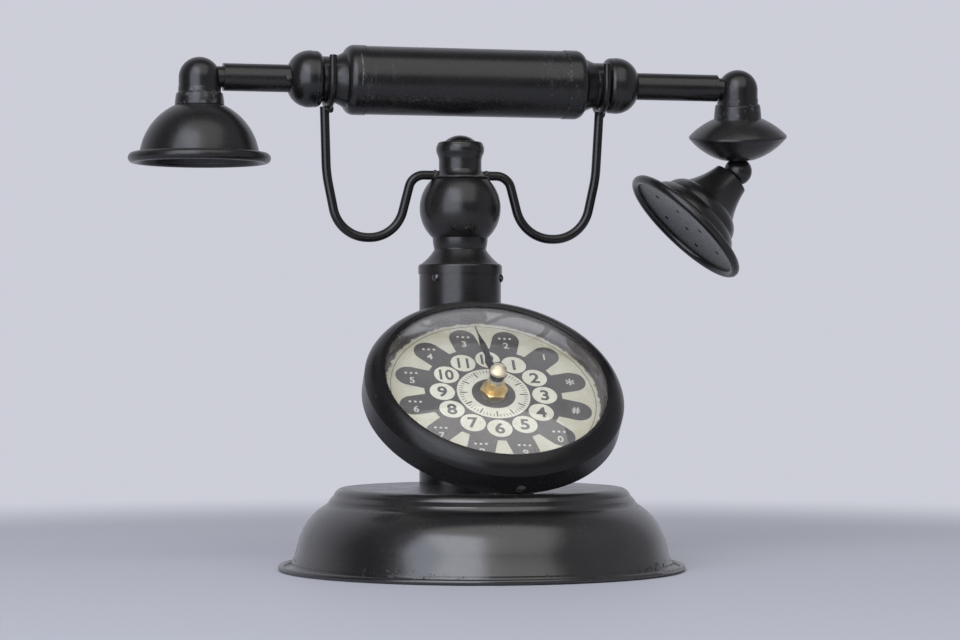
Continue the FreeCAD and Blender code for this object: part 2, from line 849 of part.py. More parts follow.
def rounded_block(size, corner, low, high):
    half = size / 2
    block = Part.makeBox(size, size, high - low, Vector(-half, -half, low))
    upright = [e for e in block.Edges if abs(e.tangentAt(e.FirstParameter).z) > 0.9]
    return block.makeFillet(corner, upright)


def movement():
    half_bay = battery_length / 2 + contact_t + seat_gap
    bay_r = battery_r + seat_gap * 2
    bay_front = movement_front_w - bay_floor_t
    bay = Part.makeBox(2 * half_bay, 2 * bay_r, movement_depth,
                       Vector(-half_bay, battery_v - bay_r, bay_front - movement_depth))
    bush_low = movement_front_w - bush_root
    arbor_low = bush_low - arbor_root
    knob_hole = rod(knob_stem_r + running_gap, movement_back_w,
                    movement_back_w + knob_stem_root + running_gap)
    case = rounded_block(movement_size, movement_corner, movement_back_w, movement_front_w)
    case = case.cut(bay).cut(rod(bush_hole_r, bush_low, movement_front_w))
    case = case.cut(rod(arbor_r + running_gap, arbor_low - running_gap, bush_low))
    case = case.cut(knob_hole.translated(Vector(0, knob_v, 0)))
    save(in_clock(case), "movement_case")
    gasket = ring(gasket_r, bush_hole_r, movement_front_w, case_back_w)
    save(in_clock(gasket), "movement_gasket")
    bush = ring(bush_r, pipe_r + running_gap, bush_low, bush_top_w)
    save(in_clock(bush), "movement_bush")
    save(in_clock(ring(bush_washer_r, bush_hole_r, 0, bush_washer_t)), "bush_washer")
    nut = hex_nut(dial_nut_af, bush_washer_t, bush_washer_t + dial_nut_h, bush_hole_r)
    save(in_clock(nut), "dial_nut")

    cell_w = bay_front - battery_r
    cell = turned((0, -battery_length / 2),
                  (battery_r, -battery_length / 2),
                  (battery_r, battery_length / 2 - 1.2),
                  (battery_r * 0.38, battery_length / 2 - 1.2),
                  (battery_r * 0.38, battery_length / 2),
                  (0, battery_length / 2))
    cell = cell.rotated(ORIGIN, Y_AXIS, 90).translated(Vector(0, battery_v, cell_w))
    save(in_clock(cell), "battery")
    strips = []
    for end in (-half_bay, half_bay - contact_t):
        corner = Vector(end, battery_v - contact_size / 2, cell_w - contact_size / 2)
        strips.append(Part.makeBox(contact_t, contact_size, contact_size, corner))
    save(in_clock(Part.makeCompound(strips)), "battery_contacts")


def setting_knob():
    back = movement_back_w - swivel_gap
    knob = rod(knob_r, back - knob_h, back)
    groove = rod(knob_groove_r, back - knob_h, back).translated(Vector(knob_r, 0, 0))
    knob = knob.cut(around(groove, knob_grooves, 0))
    knob = knob.fuse(rod(knob_stem_r, back, movement_back_w + knob_stem_root)).removeSplitter()
    save(in_clock(knob.translated(Vector(0, knob_v, 0))), "setting_knob")


def hand(length, half_width, hub_r, bore, hub_w, hub_h):
    belly = length * hand_belly_share
    neck = math.sqrt(hub_r ** 2 - hand_root_half_width ** 2)
    tip_half = hand_root_half_width * 0.25
    side = [(hand_root_half_width, neck), (half_width, belly),
            (tip_half * 2, length - (length - belly) * 0.4), (tip_half, length)]
    points = [Vector(x, y, 0) for x, y in side]
    points += [Vector(-x, y, 0) for x, y in reversed(side)]
    points.append(points[0])
    blade_w = hub_w + (hub_h - hand_t) / 2
    blade = Part.Face(Part.makePolygon(points)).extrude(Vector(0, 0, hand_t))
    blade = blade.translated(Vector(0, 0, blade_w))
    hub = rod(hub_r, hub_w, hub_w + hub_h)
    whole = blade.fuse(hub).removeSplitter().cut(rod(bore, hub_w, hub_w + hub_h))
    return whole.rotated(ORIGIN, Z_AXIS, hand_turn)


def hands():
    bush_low = movement_front_w - bush_root
    pipe = ring(pipe_r, arbor_r + running_gap, bush_low + swivel_gap, hour_hub_w + hour_hub_h)
    arbor = rod(arbor_r, bush_low - arbor_root, arbor_top_w)
    hour = hand(hour_length, hour_half_width, hour_hub_r, pipe_r + seat_gap, hour_hub_w, hour_hub_h)
    minute = hand(minute_length, minute_half_width, minute_hub_r, arbor_r + seat_gap,
                  minute_hub_w, minute_hub_h)
    cap = domed(cap_r, cap_w, cap_w + cap_h * 0.45, cap_w + cap_h)
    cap = cap.cut(rod(arbor_r + seat_gap, cap_w, arbor_top_w))
    save(in_clock(pipe), "hour_pipe")
    save(in_clock(hour), "hour_hand")
    save(in_clock(arbor), "minute_arbor")
    save(in_clock(minute), "minute_hand")
    save(in_clock(cap), "hand_cap")


os.makedirs("parts", exist_ok=True)
save(base_shell(), "base_shell")
rod_fixings()
column()
cradle()
handset()
earpiece()
mouthpiece()
swivel()
horn()
clock_case()
movement()
setting_knob()
hands()
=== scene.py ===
import math

import bmesh
import bpy
from mathutils import Matrix, Vector, noise


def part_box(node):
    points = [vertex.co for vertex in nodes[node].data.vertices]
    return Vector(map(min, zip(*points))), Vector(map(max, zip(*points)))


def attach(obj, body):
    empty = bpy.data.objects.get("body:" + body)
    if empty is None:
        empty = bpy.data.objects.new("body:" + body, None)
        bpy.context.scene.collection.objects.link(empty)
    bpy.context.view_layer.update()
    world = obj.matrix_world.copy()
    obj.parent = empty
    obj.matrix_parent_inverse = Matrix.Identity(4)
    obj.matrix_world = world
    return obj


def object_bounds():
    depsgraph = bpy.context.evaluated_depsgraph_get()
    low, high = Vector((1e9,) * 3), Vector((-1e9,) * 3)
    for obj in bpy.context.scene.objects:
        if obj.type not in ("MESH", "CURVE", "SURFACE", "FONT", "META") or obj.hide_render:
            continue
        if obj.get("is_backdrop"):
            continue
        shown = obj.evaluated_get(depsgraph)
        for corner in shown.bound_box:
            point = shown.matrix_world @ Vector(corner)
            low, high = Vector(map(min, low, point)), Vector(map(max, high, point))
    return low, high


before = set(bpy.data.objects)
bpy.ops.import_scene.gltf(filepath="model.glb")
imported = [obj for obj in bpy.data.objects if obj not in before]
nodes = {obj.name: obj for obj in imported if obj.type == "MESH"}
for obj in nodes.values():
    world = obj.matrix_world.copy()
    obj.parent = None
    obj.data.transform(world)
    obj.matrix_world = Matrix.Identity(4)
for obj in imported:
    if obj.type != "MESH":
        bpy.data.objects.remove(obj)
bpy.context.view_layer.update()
scene = bpy.context.scene
scene.view_settings.view_transform = "Standard"
MM = 0.001


# Camera at the photograph's viewing angle, aimed at the upright axis and then turned and tipped slightly
CAMERA_AT = Vector((-274.35, -1174.1, 93.32)) * MM
FOCAL = 103.125
SENSOR = 36.0
AIM_TURN = math.radians(0.041)
HEADING = math.atan2(-CAMERA_AT.y, -CAMERA_AT.x) + AIM_TURN
PITCH = math.radians(0.75)
NEAREST = 0.05
FARTHEST = 60.0


def make_camera():
    data = bpy.data.cameras.new("camera")
    data.sensor_fit = "HORIZONTAL"
    data.sensor_width = SENSOR
    data.lens = FOCAL
    data.clip_start = NEAREST
    data.clip_end = FARTHEST
    camera = bpy.data.objects.new("camera", data)
    scene.collection.objects.link(camera)
    ahead = Vector((math.cos(HEADING) * math.cos(PITCH),
                    math.sin(HEADING) * math.cos(PITCH), math.sin(PITCH)))
    right = Vector((math.sin(HEADING), -math.cos(HEADING), 0))
    up = right.cross(ahead)
    turn = Matrix((right, up, -ahead)).transposed()
    camera.matrix_world = Matrix.Translation(CAMERA_AT) @ turn.to_4x4()
    scene.camera = camera


make_camera()


# Node helpers: a value that is linked is passed as a socket, a constant as a number
MIX_A = 6
MIX_B = 7
MIX_RESULT = 2


class Shader:
    def __init__(self, name):
        self.mat = bpy.data.materials.new(name)
        self.mat.use_nodes = True
        self.tree = self.mat.node_tree
        self.tree.nodes.clear()
        self.out = self.add("ShaderNodeOutputMaterial")
        self.bsdf = self.add("ShaderNodeBsdfPrincipled")
        self.show(self.bsdf.outputs["BSDF"])
        self.coords = self.add("ShaderNodeTexCoord")
        self.place = self.coords.outputs["Object"]

    def add(self, kind):
        return self.tree.nodes.new(kind)

    def link(self, a, b):
        self.tree.links.new(a, b)

    def give(self, socket, value):
        if isinstance(value, bpy.types.NodeSocket):
            self.link(value, socket)
        elif isinstance(value, tuple) and len(value) == 3 and socket.type == "RGBA":
            socket.default_value = (*value, 1.0)
        else:
            socket.default_value = value

    def set(self, **values):
        for name, value in values.items():
            self.give(self.bsdf.inputs[name.replace("_", " ")], value)

    def noise(self, size_mm, detail=3.0, rough=0.55, place=None, distortion=0.0):
        n = self.add("ShaderNodeTexNoise")
        self.give(n.inputs["Vector"], place or self.place)
        n.inputs["Scale"].default_value = 1.0 / (size_mm * MM)
        n.inputs["Detail"].default_value = detail
        n.inputs["Roughness"].default_value = rough
        n.inputs["Distortion"].default_value = distortion
        return n.outputs["Fac"]

    def cells(self, size_mm):
        n = self.add("ShaderNodeTexVoronoi")
        self.link(self.place, n.inputs["Vector"])
        n.inputs["Scale"].default_value = 1.0 / (size_mm * MM)
        return n.outputs["Distance"]

    def stretch(self, x, y, z):
        n = self.add("ShaderNodeMapping")
        self.link(self.place, n.inputs["Vector"])
        n.inputs["Scale"].default_value = (x, y, z)
        return n.outputs["Vector"]

    def fade(self, value, low, high, to_low=0.0, to_high=1.0):
        n = self.add("ShaderNodeMapRange")
        n.interpolation_type = "SMOOTHSTEP"
        self.give(n.inputs["Value"], value)
        n.inputs["From Min"].default_value = low
        n.inputs["From Max"].default_value = high
        n.inputs["To Min"].default_value = to_low
        n.inputs["To Max"].default_value = to_high
        return n.outputs["Result"]

    def maths(self, kind, a, b=0.0):
        n = self.add("ShaderNodeMath")
        n.operation = kind
        self.give(n.inputs[0], a)
        self.give(n.inputs[1], b)
        return n.outputs[0]

    def times(self, *factors):
        result = factors[0]
        for f in factors[1:]:
            result = self.maths("MULTIPLY", result, f)
        return result

    def plus(self, a, b):
        return self.maths("ADD", a, b)

    def most(self, a, b):
        return self.maths("MAXIMUM", a, b)

    def mix(self, factor, a, b):
        n = self.add("ShaderNodeMix")
        n.data_type = "RGBA"
        self.give(n.inputs["Factor"], factor)
        self.give(n.inputs[MIX_A], a)
        self.give(n.inputs[MIX_B], b)
        return n.outputs[MIX_RESULT]

    def blend(self, factor, a, b):
        n = self.add("ShaderNodeMixShader")
        self.link(factor, n.inputs[0])
        self.link(a, n.inputs[1])
        self.link(b, n.inputs[2])
        return n.outputs["Shader"]

    def show(self, surface):
        self.link(surface, self.out.inputs["Surface"])

    def split(self, vector):
        n = self.add("ShaderNodeSeparateXYZ")
        self.link(vector, n.inputs[0])
        return n.outputs[0], n.outputs[1], n.outputs[2]

    def facing_up(self):
        return self.split(self.coords.outputs["Normal"])[2]

    def band(self, value, low, high, soft):
        rise = self.fade(value, low - soft, low + soft)
        fall = self.fade(value, high - soft, high + soft, 1.0, 0.0)
        return self.times(rise, fall)

    def away(self, point):
        n = self.add("ShaderNodeVectorMath")
        n.operation = "DISTANCE"
        self.link(self.place, n.inputs[0])
        n.inputs[1].default_value = point
        return n.outputs["Value"]

    def off_axis(self, point, way):
        apart = self.add("ShaderNodeVectorMath")
        apart.operation = "SUBTRACT"
        self.link(self.place, apart.inputs[0])
        apart.inputs[1].default_value = point
        across = self.add("ShaderNodeVectorMath")
        across.operation = "CROSS_PRODUCT"
        self.link(apart.outputs["Vector"], across.inputs[0])
        across.inputs[1].default_value = way
        length = self.add("ShaderNodeVectorMath")
        length.operation = "LENGTH"
        self.link(across.outputs["Vector"], length.inputs[0])
        return length.outputs["Value"]

    def bump(self, height, depth_mm, strength):
        n = self.add("ShaderNodeBump")
        n.inputs["Strength"].default_value = strength
        n.inputs["Distance"].default_value = depth_mm * MM
        self.link(height, n.inputs["Height"])
        self.link(n.outputs["Normal"], self.bsdf.inputs["Normal"])


# Places on the object, in metres
DIAL_LEAN = math.radians(40.4)
DIAL_AT = Vector((0, -21.7655, 76.7652)) * MM
DIAL_UP = Vector((0, math.cos(DIAL_LEAN), math.sin(DIAL_LEAN)))
DIAL_OUT = Vector((0, -math.sin(DIAL_LEAN), math.cos(DIAL_LEAN)))
PRINT_TURN = math.radians(3.4)


# Satin black paint over sheet metal, with dust where the surface faces up.
# Each wear mask is 0 where the paint is whole and rises to 1 where it is marked.
BLACK = (0.0062, 0.0061, 0.0065)
BLACK_WARM = (0.0135, 0.0112, 0.0098)
DUST = (0.30, 0.29, 0.285)
BARE_METAL = (0.33, 0.31, 0.29)
RUST = (0.075, 0.042, 0.026)
PAINT_IOR = 1.5


def paint(name, dusty, warm, gloss, dust_from, shine, wear=None, chips=(BARE_METAL, RUST), dull=0.12):
    s = Shader(name)
    broad = s.noise(38.0, 3.0, 0.6)
    fine = s.noise(2.2, 4.0, 0.6)
    grit = s.noise(0.55, 2.0, 0.5)
    tone = s.times(s.fade(broad, 0.35, 0.7), warm)
    colour = s.mix(tone, BLACK, BLACK_WARM)
    up = s.fade(s.facing_up(), dust_from, 1.0)
    patches = s.fade(s.noise(9.0, 5.0, 0.65), 0.3, 0.72, 0.35, 1.0)
    dust = s.times(up, patches, dusty)
    specks = s.fade(s.cells(3.1), 0.075, 0.05)
    specks = s.times(specks, s.fade(s.noise(7.0), 0.52, 0.66), s.fade(s.facing_up(), 0.0, 0.6), 0.3)
    dust = s.most(dust, specks)
    colour = s.mix(dust, colour, DUST)
    rough = s.fade(fine, 0.25, 0.75, gloss - 0.03, gloss + 0.04)
    rough = s.plus(rough, s.times(dust, 0.55))
    rough = s.plus(rough, s.fade(broad, 0.3, 0.7, -0.02, 0.03))
    if wear:
        mask = wear(s)
        colour = s.mix(mask, colour, s.mix(s.fade(fine, 0.4, 0.6), *chips))
        rough = s.plus(rough, s.times(mask, dull))
    s.set(Base_Color=colour, Roughness=rough, IOR=PAINT_IOR, Specular_IOR_Level=shine)
    height = s.plus(s.times(s.noise(1.4, 2.0, 0.5), 0.7), s.times(grit, 0.3))
    s.bump(height, 0.02, 0.2)
    return s.mat


# Base: pits in the gutter above the lip, placed by how far across the photograph's view they lie
RIM_LOW = -0.5 * MM
GUTTER_LOW = 2.2 * MM
GUTTER_HIGH = 5.2 * MM
VIEW_ACROSS = (0.974, -0.227)
CHIPPED_RIGHT = (48.0 * MM, 84.0 * MM)
CHIPPED_LEFT = (-29.0 * MM, -16.0 * MM)
PIT = (0.0035, 0.0033, 0.0032)
GRIME = (0.020, 0.017, 0.015)


def base_wear(s):
    x, y, z = s.split(s.place)
    across = s.plus(s.times(x, VIEW_ACROSS[0]), s.times(y, VIEW_ACROSS[1]))
    band = s.band(z, GUTTER_LOW, GUTTER_HIGH, 0.8 * MM)
    chips = s.fade(s.noise(3.4, 5.0, 0.7), 0.55, 0.61)
    few = s.times(s.fade(s.noise(22.0, 2.0), 0.52, 0.62), 0.6)
    where = s.most(s.band(across, *CHIPPED_RIGHT, 6.0 * MM), s.band(across, *CHIPPED_LEFT, 3.0 * MM))
    rim = s.times(s.band(z, RIM_LOW, GUTTER_LOW, 0.5 * MM), s.fade(s.noise(6.0, 5.0, 0.7), 0.60, 0.68))
    return s.most(s.times(band, chips, s.most(where, few), 0.9), s.times(rim, 0.4))


# Grip: scratches towards both ends, one worn arc at the left and a dotted one at the right
GRIP_X = 2.0 * MM
GRIP_Z = 217.6 * MM
GRIP_SCRATCH_FROM = 33.0 * MM
GRIP_SCRATCH_TO = 50.0 * MM
GRIP_ARC_X = -47.6 * MM
GRIP_DOTS_X = 48.4 * MM
GRIP_ARC_W = 0.28 * MM
GRIP_ARC_SOFT = 0.12 * MM
GRIP_ARC_WAVE = 1.6 * MM
GRIP_ARC_LOW = -3.0 * MM
GRIP_ARC_HIGH = 11.0 * MM
SCUFF = (0.17, 0.17, 0.175)
SCUFF_DARK = (0.085, 0.085, 0.09)


def grip_wear(s):
    x, _, z = s.split(s.place)
    reach = s.maths("ABSOLUTE", s.maths("SUBTRACT", x, GRIP_X))
    zone = s.band(reach, GRIP_SCRATCH_FROM, GRIP_SCRATCH_TO, 3.0 * MM)
    long = s.noise(5.0, 5.0, 0.7, s.stretch(4.5, 0.9, 0.9), 0.4)
    lines = s.band(long, 0.555, 0.575, 0.008)
    few = s.fade(s.noise(11.0, 2.0), 0.47, 0.6)
    nicks = s.times(s.fade(s.cells(6.5), 0.10, 0.06), s.fade(s.noise(17.0), 0.5, 0.6))
    wavy = s.plus(x, s.times(s.plus(s.noise(9.0, 2.0), -0.5), GRIP_ARC_WAVE))
    arc = s.band(wavy, GRIP_ARC_X - GRIP_ARC_W, GRIP_ARC_X + GRIP_ARC_W, GRIP_ARC_SOFT)
    height = s.band(z, GRIP_Z + GRIP_ARC_LOW, GRIP_Z + GRIP_ARC_HIGH, 1.5 * MM)
    arc = s.times(arc, height, s.fade(s.noise(2.5, 4.0, 0.7), 0.38, 0.55))
    dots = s.band(wavy, GRIP_DOTS_X - GRIP_ARC_W, GRIP_DOTS_X + GRIP_ARC_W, GRIP_ARC_SOFT)
    dots = s.times(dots, s.fade(s.noise(1.8, 3.0, 0.6), 0.50, 0.58))
    scuffs = s.most(s.times(zone, lines, few, 0.4), s.times(nicks, 0.3))
    return s.most(scuffs, s.most(s.times(arc, 0.75), s.times(dots, 0.7)))


# Column, drum, wires and handset: a few nicks
def edge_wear(s):
    nicks = s.fade(s.noise(3.4, 5.0, 0.75), 0.67, 0.71)
    return s.times(nicks, s.fade(s.noise(19.0, 2.0), 0.5, 0.62), 0.35)


# Collars under the elbows: grey smears
def collar_wear(s):
    smears = s.fade(s.noise(3.0, 5.0, 0.7), 0.50, 0.62)
    return s.times(smears, s.fade(s.noise(6.0, 2.0), 0.44, 0.58), 0.5)


base_paint = paint("base_paint", dusty=0.22, warm=1.0, gloss=0.22, dust_from=0.88, shine=1.0,
                   wear=base_wear, chips=(PIT, GRIME), dull=0.75)
column_paint = paint("column_paint", dusty=0.10, warm=0.6, gloss=0.27, dust_from=0.7, shine=0.58,
                     wear=edge_wear)
drum_paint = paint("drum_paint", dusty=0.08, warm=0.45, gloss=0.26, dust_from=0.7, shine=0.3,
                   wear=edge_wear)
wire_paint = paint("wire_paint", dusty=0.08, warm=0.3, gloss=0.24, dust_from=0.6, shine=0.45,
                   wear=edge_wear)
handset_paint = paint("handset_paint", dusty=0.08, warm=0.5, gloss=0.27, dust_from=0.7, shine=0.57,
                      wear=edge_wear)
collar_paint = paint("collar_paint", dusty=0.08, warm=0.5, gloss=0.28, dust_from=0.7, shine=0.57,
                     wear=collar_wear, chips=(SCUFF, SCUFF_DARK))
grip_paint = paint("grip_paint", dusty=0.06, warm=0.3, gloss=0.26, dust_from=0.7, shine=0.55,
                   wear=grip_wear, chips=(SCUFF, SCUFF_DARK))
saucer_paint = paint("saucer_paint", dusty=0.10, warm=0.5, gloss=0.27, dust_from=0.7, shine=0.8,
                     wear=edge_wear)
horn_paint = paint("horn_paint", dusty=0.10, warm=0.35, gloss=0.26, dust_from=0.6, shine=0.6,
                   wear=edge_wear)
plate_paint = paint("plate_paint", dusty=0.10, warm=0.35, gloss=0.26, dust_from=0.6, shine=0.45,
                    wear=edge_wear)
screw_paint = paint("screw_paint", dusty=0.05, warm=0.3, gloss=0.22, dust_from=0.7, shine=0.9)
weld_paint = paint("weld_paint", dusty=0.30, warm=0.4, gloss=0.42, dust_from=0.0, shine=0.5)


# Bare metal, tarnished in patches
def metal(name, colour, tarnish, rough, grain_mm):
    s = Shader(name)
    broad = s.noise(3.2, 4.0, 0.6)
    grain = s.noise(grain_mm, 2.0, 0.5)
    mottle = s.plus(s.times(grain, 0.6), s.times(broad, 0.4))
    s.set(Base_Color=s.mix(s.fade(broad, 0.4, 0.75), colour, tarnish), Metallic=1.0)
    s.set(Roughness=s.fade(mottle, 0.3, 0.7, rough - 0.07, rough + 0.1))
    s.bump(grain, 0.02, 0.4)
    return s.mat


zinc = metal("zinc_steel", (0.62, 0.62, 0.60), (0.40, 0.39, 0.37), rough=0.34, grain_mm=0.5)
bush_metal = metal("bush_metal", (0.66, 0.66, 0.67), (0.48, 0.47, 0.46), rough=0.24, grain_mm=0.4)
brass = metal("brass", (0.80, 0.62, 0.30), (0.60, 0.42, 0.17), rough=0.34, grain_mm=0.5)
cap_gold = metal("cap_gold", (0.82, 0.73, 0.53), (0.72, 0.62, 0.40), rough=0.46, grain_mm=0.5)


# Moulded or enamelled black pieces
def plastic(name, colour, worn, rough, grain_mm, depth_mm, shine=0.5):
    s = Shader(name)
    broad = s.noise(14.0, 3.0, 0.6)
    grain = s.noise(grain_mm, 2.0, 0.5)
    s.set(Base_Color=s.mix(s.fade(broad, 0.35, 0.7), colour, worn))
    s.set(Roughness=s.fade(broad, 0.3, 0.7, rough - 0.05, rough + 0.08), Specular_IOR_Level=shine)
    s.bump(grain, depth_mm, 0.5)
    return s.mat


movement_plastic = plastic("movement_plastic", (0.022, 0.022, 0.024), (0.034, 0.034, 0.036),
                           rough=0.5, grain_mm=0.35, depth_mm=0.04)
rubber = plastic("rubber", (0.02, 0.02, 0.02), (0.032, 0.031, 0.03),
                 rough=0.8, grain_mm=0.3, depth_mm=0.05)
hand_black = plastic("hand_black", (0.006, 0.006, 0.0065), (0.01, 0.01, 0.0105),
                     rough=0.42, grain_mm=0.3, depth_mm=0.01, shine=0.18)
# Glass spacer: a black glossy wall, coloured pinkish grey as a painted reflection of the cream dial
spacer_black = plastic("spacer_black", (0.20, 0.178, 0.170), (0.085, 0.075, 0.071),
                       rough=0.22, grain_mm=0.6, depth_mm=0.02)


# Hour hand: black enamel with a plated boss
HOUR_BOSS_R = 3.16 * MM
BOSS_EDGE = 0.02 * MM
PLATED = (0.60, 0.60, 0.61)
PLATED_DULL = (0.42, 0.41, 0.41)
ENAMEL = (0.012, 0.012, 0.013)
ENAMEL_WORN = (0.02, 0.02, 0.021)


def hour_finish():
    s = Shader("hour_hand")
    broad = s.noise(3.0, 3.0, 0.6)
    boss = s.fade(s.off_axis(DIAL_AT, DIAL_OUT), HOUR_BOSS_R + BOSS_EDGE, HOUR_BOSS_R - BOSS_EDGE)
    plated = s.mix(s.fade(broad, 0.4, 0.7), PLATED, PLATED_DULL)
    enamel = s.mix(s.fade(broad, 0.4, 0.7), ENAMEL, ENAMEL_WORN)
    s.set(Base_Color=s.mix(boss, enamel, plated), Metallic=boss)
    s.set(Roughness=s.fade(broad, 0.3, 0.7, 0.28, 0.40))
    s.bump(s.noise(0.3, 2.0), 0.01, 0.4)
    return s.mat


# Battery: dark wrap with a coppery end
COPPER_FROM = 0.24
COPPER_FULL = 0.23
WRAP = (0.035, 0.038, 0.042)
WRAP_WORN = (0.05, 0.053, 0.058)
COPPER = (0.52, 0.36, 0.16)
COPPER_DULL = (0.44, 0.29, 0.12)


def battery_wrap():
    s = Shader("battery_wrap")
    low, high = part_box("battery")
    length = high.x - low.x
    along = s.split(s.place)[0]
    cap = s.fade(along, high.x - length * COPPER_FROM, high.x - length * COPPER_FULL)
    broad = s.noise(8.0, 3.0)
    body = s.mix(s.fade(broad, 0.4, 0.7), WRAP, WRAP_WORN)
    ring = s.mix(s.fade(broad, 0.4, 0.7), COPPER, COPPER_DULL)
    s.set(Base_Color=s.mix(cap, body, ring), Roughness=s.fade(broad, 0.3, 0.7, 0.25, 0.35))
    s.bump(s.noise(1.5, 2.0), 0.01, 0.4)
    return s.mat


# Printed paper dial, yellowed towards its rim, where it flakes off the card
YELLOW_FROM = 26 * MM
YELLOW_TO = 50 * MM
FLAKE_FROM = 46.0 * MM
FLAKE_TO = 46.7 * MM
FLAKE_RAGGED = 5.0 * MM
PRINT_ROUGH = 0.5
BARE_CARD = (0.075, 0.058, 0.050)
BROWN_FLECK = (0.33, 0.29, 0.20)
PALE_FLECK = (0.21, 0.19, 0.16)


def print_ink(name, colour, aged, fade_to, fleck, flaking=False):
    s = Shader(name)
    stain = s.noise(16.0, 5.0, 0.65)
    fibre = s.noise(0.8, 3.0, 0.6)
    reach = s.away(DIAL_AT)
    colour = s.mix(s.fade(stain, 0.35, 0.72), colour, aged)
    old = s.times(s.fade(reach, YELLOW_FROM, YELLOW_TO), s.fade(s.noise(7.0, 5.0, 0.7), 0.32, 0.7), 0.8)
    colour = s.mix(old, colour, fade_to)
    flecks = s.times(s.fade(s.noise(1.1, 3.0, 0.6), 0.57, 0.70), 0.45)
    colour = s.mix(flecks, colour, fleck)
    if flaking:
        ragged = s.plus(reach, s.times(s.plus(s.noise(3.2, 5.0, 0.75), -0.5), FLAKE_RAGGED))
        colour = s.mix(s.fade(ragged, FLAKE_FROM, FLAKE_TO), colour, BARE_CARD)
    s.set(Base_Color=colour, Roughness=s.fade(fibre, 0.3, 0.7, PRINT_ROUGH - 0.06, PRINT_ROUGH + 0.08))
    s.bump(fibre, 0.012, 0.4)
    return s.mat


paper = print_ink("dial_paper", (0.60, 0.585, 0.48), (0.54, 0.515, 0.40), (0.45, 0.40, 0.24),
                  BROWN_FLECK, flaking=True)
ivory_ink = print_ink("ivory_ink", (0.70, 0.685, 0.575), (0.63, 0.61, 0.49), (0.55, 0.52, 0.42),
                      BROWN_FLECK)
dark_ink = print_ink("dark_ink", (0.052, 0.046, 0.043), (0.078, 0.069, 0.064), (0.070, 0.060, 0.052),
                     PALE_FLECK)
numeral_ink = print_ink("numeral_ink", (0.055, 0.049, 0.044), (0.08, 0.072, 0.065), (0.08, 0.071, 0.063),
                        PALE_FLECK)
pale_ink = print_ink("pale_ink", (0.62, 0.605, 0.55), (0.54, 0.525, 0.47), (0.46, 0.44, 0.38),
                     BROWN_FLECK)


# Clear glass with faint dust and a painted pale reflection band along its top; shadow rays pass, so lamps
# reach the dial
REFLECTION_BAND_LOW = 98.0 * MM
REFLECTION_BAND_HIGH = 109.0 * MM
REFLECTION_BAND = 0.075
FILM_LEAST = 0.003
FILM_MOST = 0.02
FILM_AND_REFLECTION_TONE = (0.84, 0.845, 0.85)
GLASS_IOR = 1.52
GLASS_TINT = (0.975, 0.98, 0.975)
LAMP_TINT = (0.93, 0.935, 0.93)


def clear_glass():
    s = Shader("clock_glass")
    smear = s.noise(11.0, 4.0, 0.6)
    s.set(Base_Color=GLASS_TINT, Transmission_Weight=1.0, IOR=GLASS_IOR)
    s.set(Roughness=s.fade(smear, 0.35, 0.8, 0.0, 0.03))
    film_and_reflection = s.add("ShaderNodeBsdfDiffuse")
    s.give(film_and_reflection.inputs["Color"], FILM_AND_REFLECTION_TONE)
    # Painted reflection: a pale diffuse band across the top of the glass, standing in for the room
    # reflected there
    rim = s.times(s.fade(s.split(s.place)[2], REFLECTION_BAND_LOW, REFLECTION_BAND_HIGH), REFLECTION_BAND)
    film_and_reflection_amount = s.plus(rim, s.fade(smear, 0.3, 0.8, FILM_LEAST, FILM_MOST))
    filmed_and_reflecting = s.blend(film_and_reflection_amount, s.bsdf.outputs["BSDF"], film_and_reflection.outputs["BSDF"])
    lamp = s.add("ShaderNodeBsdfTransparent")
    s.give(lamp.inputs["Color"], LAMP_TINT)
    path = s.add("ShaderNodeLightPath")
    s.show(s.blend(path.outputs["Is Shadow Ray"], filmed_and_reflecting, lamp.outputs["BSDF"]))
    return s.mat


glass = clear_glass()
battery_mat = battery_wrap()
hour_hand_mat = hour_finish()

finish_of = {
    base_paint: ["base_shell"],
    column_paint: ["column_tube", "column_collar", "neck_ring", "column_ball", "finial"],
    drum_paint: ["clock_bezel", "clock_case", "drum_welds"],
    screw_paint: ["collar_screws", "bezel_screws"],
    wire_paint: ["cradle_arm_left", "cradle_arm_right", "cradle_fork_left", "cradle_fork_right"],
    grip_paint: ["grip_sleeve", "grip_end_left", "grip_end_right"],
    handset_paint: ["handset_rod", "bead_left", "bead_right", "elbow_left", "elbow_right",
                    "earpiece_bell", "saucer_lower", "swivel_ball"],
    saucer_paint: ["saucer_upper"],
    collar_paint: ["earpiece_collar", "mouthpiece_collar"],
    horn_paint: ["horn"],
    plate_paint: ["horn_grille"],
    zinc: ["base_washer", "base_nut", "tie_rod", "earpiece_screw", "mouthpiece_screw", "swivel_washer",
           "swivel_nut", "horn_stud", "stud_cap", "horn_nut", "battery_contacts"],
    bush_metal: ["bush_washer", "minute_arbor"],
    brass: ["dial_nut", "hour_pipe", "movement_bush"],
    cap_gold: ["hand_cap"],
    movement_plastic: ["movement_case", "setting_knob"],
    rubber: ["movement_gasket"],
    hand_black: ["minute_hand"],
    hour_hand_mat: ["hour_hand"],
    spacer_black: ["glass_spacer"],
    paper: ["dial"],
    glass: ["clock_glass"],
    battery_mat: ["battery"],
}


def set_material(obj, mat):
    obj.data.materials.clear()
    obj.data.materials.append(mat)


for mat, names in finish_of.items():
    for name in names:
        set_material(nodes[name], mat)
dressed = [name for names in finish_of.values() for name in names]
assert sorted(dressed) == sorted(nodes), set(dressed) ^ set(nodes)


# Dial print, laid on the dial's face: x to the right, y up the dial, z out of it, in mm
def on_dial(obj):
    right = DIAL_UP.cross(DIAL_OUT)
    turn = Matrix((right, DIAL_UP, DIAL_OUT)).transposed().to_4x4()
    obj.data.transform(Matrix.Translation(DIAL_AT) @ turn @ Matrix.Diagonal((MM, MM, MM, 1)))


